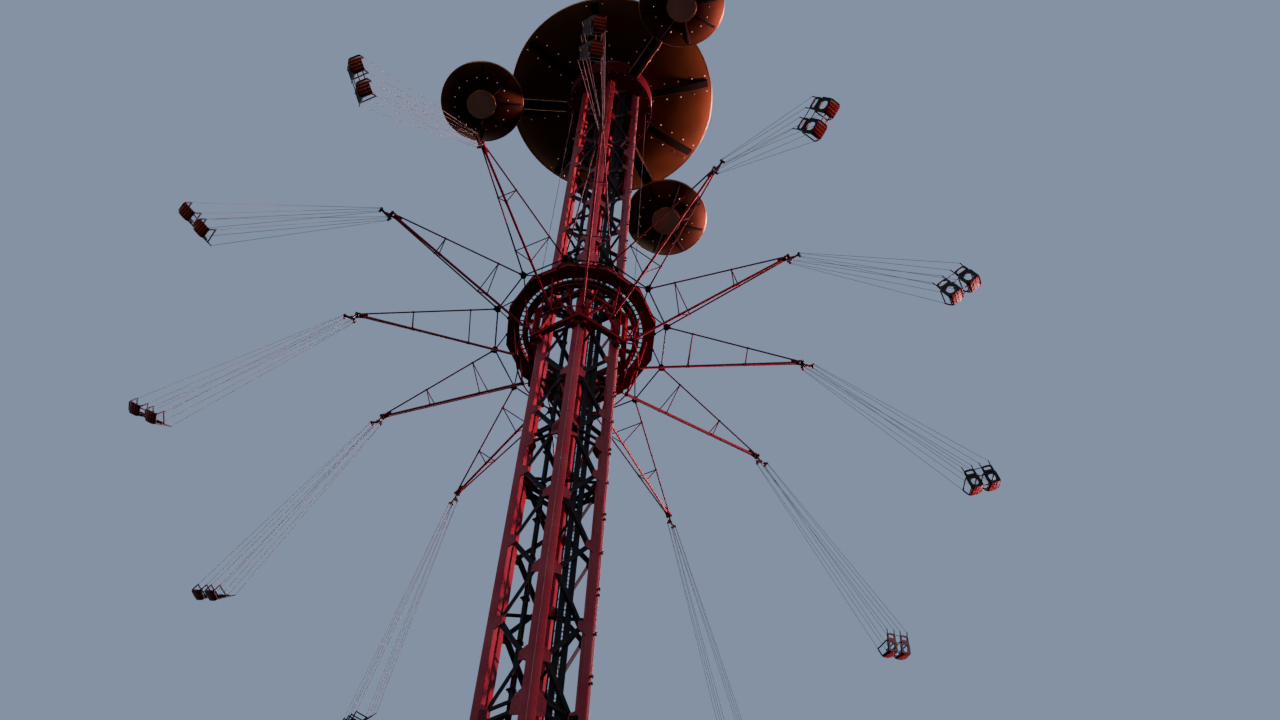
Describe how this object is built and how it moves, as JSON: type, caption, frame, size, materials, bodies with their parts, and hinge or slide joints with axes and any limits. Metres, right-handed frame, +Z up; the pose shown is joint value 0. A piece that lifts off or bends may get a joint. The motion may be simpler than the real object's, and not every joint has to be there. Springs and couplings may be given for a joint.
{
  "type": "1:10 scale model of a tower chair swing ride",
  "caption": "Tall six-sided lattice tower with a lit disc on top; a ring of truss arms climbs it and turns, flinging pairs of chair seats outward on chains.",
  "frame": {"origin": "centre of the underside of the foundation plate, on the tower's axis", "axes": "+Z up along the tower; +X through leg_1, one of the six legs; the ladder is inside the side that faces -Y"},
  "size_m": [3.9076, 3.9076, 12.07],
  "materials": {
    "crimson": "satin paint",
    "bright_red": "satin paint",
    "dark_red": "satin paint",
    "black": "satin paint",
    "bronze": "metallic paint, lit from below",
    "steel": "greased steel",
    "chain": "dull galvanized steel",
    "shell": "moulded plastic on a steel frame"
  },
  "bodies": {
    "tower": {"foundation_plate": "black", "leg_1": "crimson", "leg_2": "crimson", "leg_3": "crimson", "leg_4": "crimson", "leg_5": "crimson", "leg_6": "crimson", "bracing_1": "black", "bracing_2": "black", "bracing_3": "black", "bracing_4": "black", "bracing_5": "black", "bracing_6": "black", "access_ladder": "black", "head_drum": "dark_red", "big_disc": "bronze", "small_disc_1": "dark_red", "small_disc_2": "dark_red", "small_disc_3": "dark_red"},
    "carriage": {"carriage_frame": "dark_red", "slewing_ring": "steel"},
    "rotor": {"platform_band": "dark_red", "tie_ring": "black", "lower_ring": "bright_red", "arm_01": "bright_red", "arm_02": "bright_red", "arm_03": "bright_red", "arm_04": "bright_red", "arm_05": "bright_red", "arm_06": "bright_red", "arm_07": "bright_red", "arm_08": "bright_red", "arm_09": "bright_red", "arm_10": "bright_red", "arm_11": "bright_red", "arm_12": "bright_red"},
    "swing_01": {"swing_yoke_01": "chain", "seat_pair_01": "shell"},
    "swing_02": {"swing_yoke_02": "chain", "seat_pair_02": "shell"},
    "swing_03": {"swing_yoke_03": "chain", "seat_pair_03": "shell"},
    "swing_04": {"swing_yoke_04": "chain", "seat_pair_04": "shell"},
    "swing_05": {"swing_yoke_05": "chain", "seat_pair_05": "shell"},
    "swing_06": {"swing_yoke_06": "chain", "seat_pair_06": "shell"},
    "swing_07": {"swing_yoke_07": "chain", "seat_pair_07": "shell"},
    "swing_08": {"swing_yoke_08": "chain", "seat_pair_08": "shell"},
    "swing_09": {"swing_yoke_09": "chain", "seat_pair_09": "shell"},
    "swing_10": {"swing_yoke_10": "chain", "seat_pair_10": "shell"},
    "swing_11": {"swing_yoke_11": "chain", "seat_pair_11": "shell"},
    "swing_12": {"swing_yoke_12": "chain", "seat_pair_12": "shell"}
  },
  "joints": [
    {"name": "carriage_hoist", "type": "slide", "parent": "tower", "child": "carriage", "axis": [0, 0, 1], "range_m": [-6.38, 3.2]},
    {"name": "rotor_spin", "type": "hinge", "parent": "carriage", "child": "rotor", "pos_m": [0, 0, 7.94], "axis": [0, 0, 1], "continuous": true},
    {"name": "swing_01_pivot", "type": "hinge", "parent": "rotor", "child": "swing_01", "pos_m": [-0.51897, -1.00378, 7.884], "axis": [-0.8883, 0.4593, 0], "range_deg": [-45, 27]},
    {"name": "swing_02_pivot", "type": "hinge", "parent": "rotor", "child": "swing_02", "pos_m": [0.05244, -1.12878, 7.884], "axis": [-0.9989, -0.0464, 0], "range_deg": [-45, 27]},
    {"name": "swing_03_pivot", "type": "hinge", "parent": "rotor", "child": "swing_03", "pos_m": [0.60981, -0.95133, 7.884], "axis": [-0.8419, -0.5397, 0], "range_deg": [-45, 27]},
    {"name": "swing_04_pivot", "type": "hinge", "parent": "rotor", "child": "swing_04", "pos_m": [1.00378, -0.51897, 7.884], "axis": [-0.4593, -0.8883, 0], "range_deg": [-45, 27]},
    {"name": "swing_05_pivot", "type": "hinge", "parent": "rotor", "child": "swing_05", "pos_m": [1.12878, 0.05244, 7.884], "axis": [0.0464, -0.9989, 0], "range_deg": [-45, 27]},
    {"name": "swing_06_pivot", "type": "hinge", "parent": "rotor", "child": "swing_06", "pos_m": [0.95133, 0.60981, 7.884], "axis": [0.5397, -0.8419, 0], "range_deg": [-45, 27]},
    {"name": "swing_07_pivot", "type": "hinge", "parent": "rotor", "child": "swing_07", "pos_m": [0.51897, 1.00378, 7.884], "axis": [0.8883, -0.4593, 0], "range_deg": [-45, 27]},
    {"name": "swing_08_pivot", "type": "hinge", "parent": "rotor", "child": "swing_08", "pos_m": [-0.05244, 1.12878, 7.884], "axis": [0.9989, 0.0464, 0], "range_deg": [-45, 27]},
    {"name": "swing_09_pivot", "type": "hinge", "parent": "rotor", "child": "swing_09", "pos_m": [-0.60981, 0.95133, 7.884], "axis": [0.8419, 0.5397, 0], "range_deg": [-45, 27]},
    {"name": "swing_10_pivot", "type": "hinge", "parent": "rotor", "child": "swing_10", "pos_m": [-1.00378, 0.51897, 7.884], "axis": [0.4593, 0.8883, 0], "range_deg": [-45, 27]},
    {"name": "swing_11_pivot", "type": "hinge", "parent": "rotor", "child": "swing_11", "pos_m": [-1.12878, -0.05244, 7.884], "axis": [-0.0464, 0.9989, 0], "range_deg": [-45, 27]},
    {"name": "swing_12_pivot", "type": "hinge", "parent": "rotor", "child": "swing_12", "pos_m": [-0.95133, -0.60981, 7.884], "axis": [-0.5397, 0.8419, 0], "range_deg": [-45, 27]}
  ]
}
